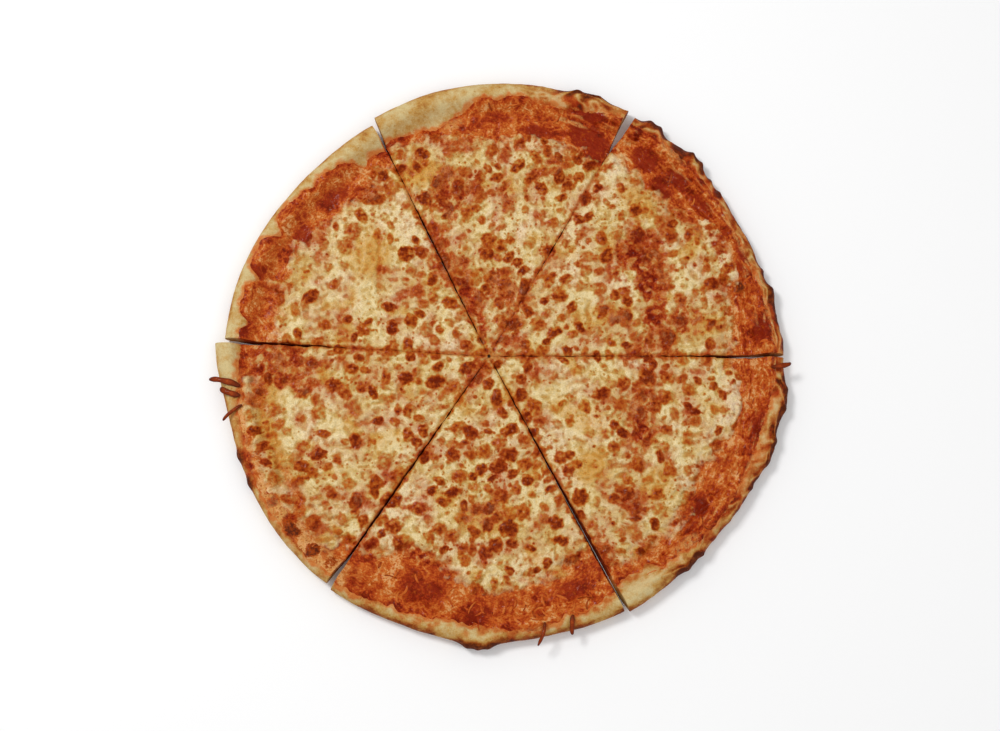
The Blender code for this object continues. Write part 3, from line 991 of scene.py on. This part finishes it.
def dough_material(colours):
    look = Surface("baked_dough")
    fine = look.noise(0.9 * MM, 4.0, 0.6)
    medium = look.noise(4.0 * MM, 4.0, 0.65)
    # Pores are dented and darker: the darkening is painted shade in them.
    pores = look.noise(1.5 * MM, 2.0, 0.5).from_to(0.34, 0.24)
    tone = look.read("browned") + 1.1 * (medium - 0.5) + 0.45 * (fine - 0.5) + 0.25 * pores
    colour = look.ramp(
        tone,
        (0.0, colours.dough),
        (0.38, colours.dough_golden),
        (0.72, colours.dough_brown),
        (1.0, colours.dough_toasted),
    )
    stain = look.ramp(
        tone,
        (0.1, colours.apricot),
        (0.4, colours.orange),
        (0.75, colours.rust),
        (1.0, colours.char),
    )
    colour = look.mix(look.read("stained") * medium.from_to(0.2, 0.5), colour, stain)
    colour = look.speckle(colour, 0.12)
    return look.finish(
        colour,
        0.5 + 0.25 * fine - 0.12 * look.read("stained"),
        fine * 0.4 + medium * 0.6 - 0.3 * pores,
        0.4 * MM,
        Specular_IOR_Level=0.06,
    )


def strand_material(colours):
    look = Surface("browned_cheese")
    fine = look.noise(0.8 * MM, 3.0, 0.6)
    # On the strands, toasted also holds painted shade along their sides.
    tone = look.read("toasted") + 0.5 * (fine - 0.5)
    colour = look.ramp(
        tone,
        (0.0, colours.apricot),
        (0.3, colours.orange),
        (0.6, colours.strand),
        (1.0, colours.char),
    )
    return look.finish(
        colour,
        0.35 + 0.2 * fine,
        fine,
        0.3 * MM,
        Specular_IOR_Level=0.05,
        Coat_Weight=0.06,
    )


class PIZZA_OT_dough(bpy.types.Operator):
    """Adds the baked dough of every slice"""

    bl_idname = "pizza.dough"
    bl_label = "Dough"

    def execute(self, context):
        material = dough_material(context.scene.pizza_colours)
        for piece in SLICES:
            block, row, above, turn, angle = slice_block("baked_dough", piece, (11, 20), (11, 10))
            rim = rim_reach(piece, angle)
            inner = read_along(piece.sauce, piece, angle) - 6 * MM
            bottom = TIP_RADIUS + (inner - TIP_RADIUS) * row / DOUGH_BEND
            t = clamp((row - DOUGH_BEND) / (1 - DOUGH_BEND))
            over_rim = inner + (rim - inner) * np.sin(t * math.pi / 2) ** 0.9
            foot = rim - FOOT_INSET
            under_rim = inner + (foot - inner) * (row - DOUGH_BEND) / (FOOT_START - DOUGH_BEND)
            t = clamp((row - FOOT_START) / (1 - FOOT_START))
            round_foot = foot + FOOT_INSET * np.sin(t * math.pi / 2)
            below = np.where(row < FOOT_START, under_rim, round_foot)
            reach = np.where(row < DOUGH_BEND, bottom, np.where(above, over_rim, below))
            height = np.where(
                above,
                dough_top(piece, angle, reach) + dough_relief(piece, angle, reach),
                dough_base(piece, angle, reach),
            )
            at_start = foot_setback(piece.start_cut, reach, above)
            at_end = foot_setback(piece.end_cut, reach, above)
            lay_out(block, piece, angle, reach, turn, height, at_start, at_end)
            add_values(block, dough_values(piece, angle, reach, above))
            finish_piece(block, material, f"dough_{piece.name}")
        return {"FINISHED"}


def dough_values(piece, angle, reach, above):
    """How far the dough is browned and how far sauce and oil have stained it, with painted shade on
    its cut faces.
    """
    x, y = on_plane(angle, reach)
    inset = rim_reach(piece, angle) - reach
    patches = rough_noise(61, x, y, 15, 3)
    mottle = rough_noise(62, x, y, 5, 2)
    streaks = Field(33).strings(round_rim(angle, 13), inset / (5 * MM))
    right = toasted_side(angle)
    browned = 0.16 + 0.24 * right + 0.54 * patches + (0.2 + 0.2 * right) * mottle
    browned += 0.6 * right * (0.5 - streaks)
    browned += 0.26 * (1 - smooth(0.3 * MM, 3.0 * MM, inset + 1.2 * MM * mottle))
    lower = smooth(236.0, 246.0, angle) * smooth(316.0, 298.0, angle)
    browned += lower * (0.02 + 0.26 * (1 - smooth(1 * MM, 5 * MM, inset + 2 * MM * mottle)))
    blisters = np.zeros_like(angle)
    for middle, half_width, _ in RIM_BLISTERS + RIM_NUBS:
        blisters = np.maximum(blisters, bell(angle, middle, 1.2 * half_width))
    browned += 0.7 * blisters * (1 - smooth(1 * MM, 6 * MM, inset + 2 * MM * mottle))
    browned += 0.16 * right * (1 - smooth(0.0, 2.5 * MM, inset + 1.5 * MM * mottle))
    browned = np.maximum(browned, 0.7 * area_mask(CHAR_SPOTS, angle, reach, mottle))
    crusted = area_mask(BAKED_CRUST, angle, reach, mottle)
    spots = np.maximum(BIG_BLISTERS.read(x, y, mottle)[1], SMALL_BLISTERS.read(x, y, mottle)[1])
    browned += crusted * (0.16 + 0.3 * mottle + 0.5 * spots)
    past_sauce = reach - sauce_edge(piece, angle) + 3 * MM * patches + 1.5 * MM * mottle
    stained = 0.9 * (1 - smooth(0.0, 2.2 * MM, past_sauce + 1.5 * MM * mottle))
    greasy = 0.7 * lower * smooth(0.05, 0.4, patches + mottle * 0.6)
    stained = np.maximum(stained, greasy * (1 - smooth(3 * MM, 9 * MM, past_sauce)))
    oily = smooth(-0.5, 0.2, rough_noise(63, x, y, 9, 3)) * (1 - 0.5 * streaks)
    stained = np.maximum(stained, 0.95 * oily * right * (1 - smooth(3 * MM, 10.5 * MM, past_sauce)))
    stained = np.maximum(stained, crusted * np.clip(0.45 + 0.5 * patches + 0.4 * spots, 0.0, 0.9))
    # The cut faces short of the rim are dark red-brown: partly sauce smeared down by the cutter,
    # partly painted shade inside the narrow gap between slices.
    smeared_and_shaded = (from_cuts(piece, angle, reach) < 0.05 * MM) * (1 - smooth(128 * MM, 140 * MM, reach))
    below = browned + (0.5 - browned) * smooth(0.0, 3.5 * MM, inset)
    return {
        "browned": clamp(np.maximum(np.where(above, browned, below), 0.85 * smeared_and_shaded)),
        "stained": clamp(np.maximum(stained * above, 0.8 * smeared_and_shaded)),
    }


class PIZZA_OT_sauce(bpy.types.Operator):
    """Adds the baked sauce of every slice"""

    bl_idname = "pizza.sauce"
    bl_label = "Sauce"

    def execute(self, context):
        material = sauce_material(context.scene.pizza_colours)
        for piece in SLICES:
            block, row, above, turn, angle = slice_block("baked_sauce", piece, (10, 22), (8, 5))
            edge = sauce_edge(piece, angle)
            inner = np.minimum(cheese_edge(piece, angle) - 14 * MM, edge - 8 * MM)
            near = TIP_RADIUS + (inner - TIP_RADIUS) * row / SAUCE_BEND
            far = inner + (edge - inner) * (row - SAUCE_BEND) / (1 - SAUCE_BEND)
            reach = np.where(row < SAUCE_BEND, near, far)
            height = np.where(
                above,
                sauce_surface(piece, angle, reach),
                dough_top(piece, angle, reach) - 0.5 * MM,
            )
            lay_out(block, piece, angle, reach, turn, height, 0.1 * MM, 0.1 * MM)
            add_values(block, sauce_values(piece, angle, reach))
            finish_piece(block, material, f"sauce_{piece.name}")
        return {"FINISHED"}


def sauce_values(piece, angle, reach):
    """How far the sauce is baked, pooled and charred, and where tan cheese has baked onto it."""
    x, y = on_plane(angle, reach)
    grain = rough_noise(43, x, y, 5, 3)
    broad = rough_noise(44, x, y, 15, 2)
    strings = sauce_strings(x, y)
    dark = area_mask(DARK_RED_AREAS, angle, reach, 1.5 * grain)
    from_edge = sauce_edge(piece, angle) - reach
    scorched = smooth(-0.5 * MM, 1.0 * MM, from_edge)
    scorched *= 1 - smooth(1.0 * MM, 4.0 * MM, from_edge + 2 * MM * grain)
    shreds = Field(46).strings(x / (1.9 * MM), y / (1.9 * MM), 1.2)
    pooled = np.minimum(dark, 1.0)
    baked = 0.68 + 0.5 * broad + 0.5 * grain
    baked -= (0.4 * strings + 0.22 * shreds) * (1 - 0.5 * pooled)
    streaks = toasted_side(angle) * Field(47).rough(round_rim(angle, 14), reach / (2.6 * MM), 3)
    baked += 0.45 * streaks
    golden_streaks = smooth(0.16, 0.42, -streaks) * (1 - smooth(4 * MM, 10 * MM, from_edge))
    crusted = area_mask(BAKED_CRUST, angle, reach, grain)
    spots = BIG_BLISTERS.read(x, y, grain)[1]
    baked += 0.42 * pooled + 0.2 * scorched * (1 - crusted) + crusted * (0.9 * spots - 0.3)
    golden = crusted * clamp(0.75 + 0.6 * broad + 0.5 * grain - 1.1 * spots)
    tan = np.maximum(area_mask(TAN_AREAS, angle, reach, 1.2 * grain), golden)
    return {
        "baked": clamp(baked),
        "tan": np.maximum(tan, 0.8 * golden_streaks),
        "pooled": np.clip(dark, 0.0, 1.3) * (1 - 0.4 * strings),
        "charred": area_mask(CHAR_SPOTS, angle, reach, 1.5 * grain),
    }


class PIZZA_OT_cheese(bpy.types.Operator):
    """Adds the melted cheese of every slice"""

    bl_idname = "pizza.cheese"
    bl_label = "Cheese"

    def execute(self, context):
        rows = (10, context.scene.pizza_sizes.cheese_rows)
        material = cheese_material(context.scene.pizza_colours)
        blocks = []
        for piece in SLICES:
            block, row, above, turn, angle = slice_block("melted_cheese", piece, rows, (8, 5))
            edge = np.minimum(cheese_edge(piece, angle) + 9 * MM, sauce_edge(piece, angle) - 1 * MM)
            reach = CHEESE_TIP + (edge - CHEESE_TIP) * row
            values = melt(piece, angle, reach)
            over = sauce_surface(piece, angle, reach) + values.pop("thickness")
            under = dough_top(piece, angle, reach) + LAYER_GAP + 0.8 * SAUCE_HEIGHT
            height = np.where(above, over, np.minimum(under, over - 0.3 * MM))
            at_start = cheese_setback(piece, piece.start_cut, reach, 0.3)
            at_end = cheese_setback(piece, piece.end_cut, reach, 0.7)
            lay_out(block, piece, angle, reach, turn, height, at_start, at_end)
            blocks.append((piece, block, values))
        marks = np.linspace(0.0, 1.0, 41)
        levels = np.quantile(np.concatenate([values["baked"] for _, _, values in blocks]), marks)
        for piece, block, values in blocks:
            values["baked"] = np.interp(values["baked"], levels, marks)
            add_values(block, values)
            finish_piece(block, material, f"cheese_{piece.name}")
        return {"FINISHED"}


def round_bar(name, sides, rings):
    """A bar along Z from -1 to 1 with the given sides, cut into rings."""
    bar = add_cylinder(name, sides, 2.0)
    clear_selection(bar.data)
    height = [corner.co.z for corner in bar.data.vertices]
    ends = [edge.vertices for edge in bar.data.edges]
    bar.data.edges.foreach_set("select", [abs(height[a] - height[b]) > 1 for a, b in ends])
    bpy.context.tool_settings.mesh_select_mode = (False, True, False)
    bpy.ops.object.mode_set(mode="EDIT")
    bpy.ops.mesh.subdivide(number_cuts=rings)
    bpy.ops.object.mode_set(mode="OBJECT")
    return bar


def bar_places(bar):
    """For every corner of a bar: its place along from -1 to 1, and its turn round the bar."""
    place = np.empty(len(bar.data.vertices) * 3)
    bar.data.vertices.foreach_get("co", place)
    x, y, along = place.reshape(-1, 3).T
    return along, np.arctan2(y, x)


def bend_bar(bar, middle, end, bow, half_width, half_height, lift, droop):
    """Bends a bar into a tapered strand between two places, lying on the food."""
    along, turn = bar_places(bar)
    heading = end - middle
    half_length = np.hypot(*heading)
    side = np.array([-heading[1], heading[0]]) / half_length
    path = middle[:, None] + heading[:, None] * along
    path += half_length * bow * side[:, None] * (along**2 - 0.4)
    slim = 0.3 + 0.7 * (1 - np.abs(along) ** 3) ** 0.5
    uneven = Field(72).wave(*(path / (4.5 * MM)))
    kinked = 0.25 * half_width * Field(73).wave(*(path / (6 * MM)))
    lean = side[:, None] * (half_width * slim * (0.9 + 0.3 * uneven) * np.cos(turn) + kinked)
    share = clamp((along + 1) / 2)
    height = food_height(*path) + lift + half_height * slim * (1 - 0.2 * uneven) * np.sin(turn)
    height -= droop * share**4
    place = np.column_stack(((path + lean).T + CROSSING, height))
    bar.data.vertices.foreach_set("co", place.ravel())
    bar.data.update()
    return along


class PIZZA_OT_strands(bpy.types.Operator):
    """Adds the browned strands of cheese that hang over the rim"""

    bl_idname = "pizza.strands"
    bl_label = "Strands"

    def execute(self, context):
        material = strand_material(context.scene.pizza_colours)
        for strand in STRANDS:
            bar = round_bar(f"browned_strand_{strand.name}", 16, 24)
            inner, outer = (np.array(on_plane(*end)) * MM for end in (strand.inner, strand.outer))
            along, turn = bar_places(bar)
            bend_bar(
                bar,
                (inner + outer) / 2,
                outer,
                strand.bow,
                half_width=strand.width * MM / 2,
                half_height=0.8 * MM,
                lift=1.0 * MM,
                droop=1.4 * MM,
            )
            # Darker along each strand's sides than on its top: painted shade. Darker towards both
            # ends: toasted tips.
            toasted = 0.56 + 0.3 * np.cos(turn) ** 2 + 0.4 * np.abs(along) ** 3
            toasted += 0.08 * np.sin(7 * along)
            add_values(bar, {"toasted": toasted})
            finish_piece(bar, material, f"strand_{strand.name}")
        return {"FINISHED"}


class PIZZA_OT_shreds(bpy.types.Operator):
    """Scatters baked shreds of cheese over the sauce"""

    bl_idname = "pizza.shreds"
    bl_label = "Shreds"

    def execute(self, context):
        material = strand_material(context.scene.pizza_colours)
        first = round_bar("baked_shreds", 6, 7)
        draw = np.random.default_rng(71)
        shreds = []
        for start, end, near, far, count in SHRED_ZONES:
            for _ in range(count):
                shred = first.copy()
                shred.data = first.data.copy()
                context.scene.collection.objects.link(shred)
                middle = np.array(on_plane(draw.uniform(start, end), draw.uniform(near, far) * MM))
                heading = draw.uniform(0.0, math.tau)
                half_length = draw.uniform(1.8, 4.2) * MM
                tip = middle + half_length * np.array((math.cos(heading), math.sin(heading)))
                half_width = draw.uniform(0.45, 0.85) * MM
                bow = draw.uniform(-0.45, 0.45)
                lift = draw.uniform(-0.3, 0.1) * MM
                along = bend_bar(shred, middle, tip, bow, half_width, 0.5 * MM, lift, 0.0)
                toasted = draw.uniform(0.05, 0.55) + 0.2 * np.abs(along) ** 2
                add_values(shred, {"toasted": toasted})
                shreds.append(shred)
        bpy.data.objects.remove(first)
        select_none()
        for shred in shreds:
            shred.select_set(True)
        context.view_layer.objects.active = shreds[0]
        bpy.ops.object.join()
        joined = context.object
        joined.name = "baked_shreds"
        finish_piece(joined, material)
        return {"FINISHED"}


class PIZZA_OT_stage(bpy.types.Operator):
    """Adds the floor, the lights and the camera"""

    bl_idname = "pizza.stage"
    bl_label = "Stage"

    def execute(self, context):
        sizes = context.scene.pizza_sizes
        select_none()
        bpy.ops.mesh.primitive_plane_add(size=sizes.floor_size)
        floor = context.object
        floor.name = "floor"
        look = Surface("pale_floor")
        look.feed(look.shader.inputs["Base Color"], (0.93, 0.93, 0.93))
        look.feed(look.shader.inputs["Roughness"], 0.7)
        floor.data.materials.append(look.material)
        add_light("window", (-0.66, 0.46, 1.24), size=0.35, power=10.4)
        add_light("fill", (0.7, -0.5, 1.3), size=1.4, power=4.0)
        world = bpy.data.worlds.new("studio")
        world.use_nodes = True
        sky = world.node_tree.nodes["Background"].inputs
        sky["Color"].default_value = (1.0, 1.0, 1.0, 1.0)
        sky["Strength"].default_value = 0.58
        context.scene.world = world
        context.scene.view_settings.view_transform = "Standard"
        back = Vector((0.0, -math.cos(sizes.elevation), math.sin(sizes.elevation)))
        camera = bpy.data.objects.new("camera", bpy.data.cameras.new("camera"))
        context.scene.collection.objects.link(camera)
        camera.data.lens = sizes.lens
        camera.data.sensor_width = 36.0
        camera.location = AIM + back * sizes.distance
        camera.rotation_euler = (-back).to_track_quat("-Z", "Y").to_euler()
        camera.data.clip_start = 0.01
        context.scene.camera = camera
        return {"FINISHED"}


def add_light(name, place, size, power):
    """An area light that faces the pizza."""
    data = bpy.data.lights.new(name, "AREA")
    data.energy = power
    data.size = size
    light = bpy.data.objects.new(name, data)
    light.location = place
    light.rotation_euler = (-Vector(place)).to_track_quat("-Z", "Y").to_euler()
    bpy.context.scene.collection.objects.link(light)


class PIZZA_PT_panel(bpy.types.Panel):
    bl_label = "Cheese pizza"
    bl_idname = "PIZZA_PT_panel"
    bl_space_type = "VIEW_3D"
    bl_region_type = "UI"
    bl_category = "Pizza"

    def draw(self, context):
        for step in STEPS:
            self.layout.operator(step.bl_idname)


STEPS = (
    PIZZA_OT_dough,
    PIZZA_OT_sauce,
    PIZZA_OT_cheese,
    PIZZA_OT_strands,
    PIZZA_OT_shreds,
    PIZZA_OT_stage,
)
CLASSES = (PizzaColours, PizzaSizes, *STEPS, PIZZA_PT_panel)


def register():
    for item in CLASSES:
        bpy.utils.register_class(item)
    bpy.types.Scene.pizza_colours = PointerProperty(type=PizzaColours)
    bpy.types.Scene.pizza_sizes = PointerProperty(type=PizzaSizes)


def unregister():
    del bpy.types.Scene.pizza_sizes
    del bpy.types.Scene.pizza_colours
    for item in reversed(CLASSES):
        bpy.utils.unregister_class(item)


def main():
    register()
    bpy.ops.pizza.dough()
    bpy.ops.pizza.sauce()
    bpy.ops.pizza.cheese()
    bpy.ops.pizza.strands()
    bpy.ops.pizza.shreds()
    bpy.ops.pizza.stage()


if __name__ == "__main__":
    main()
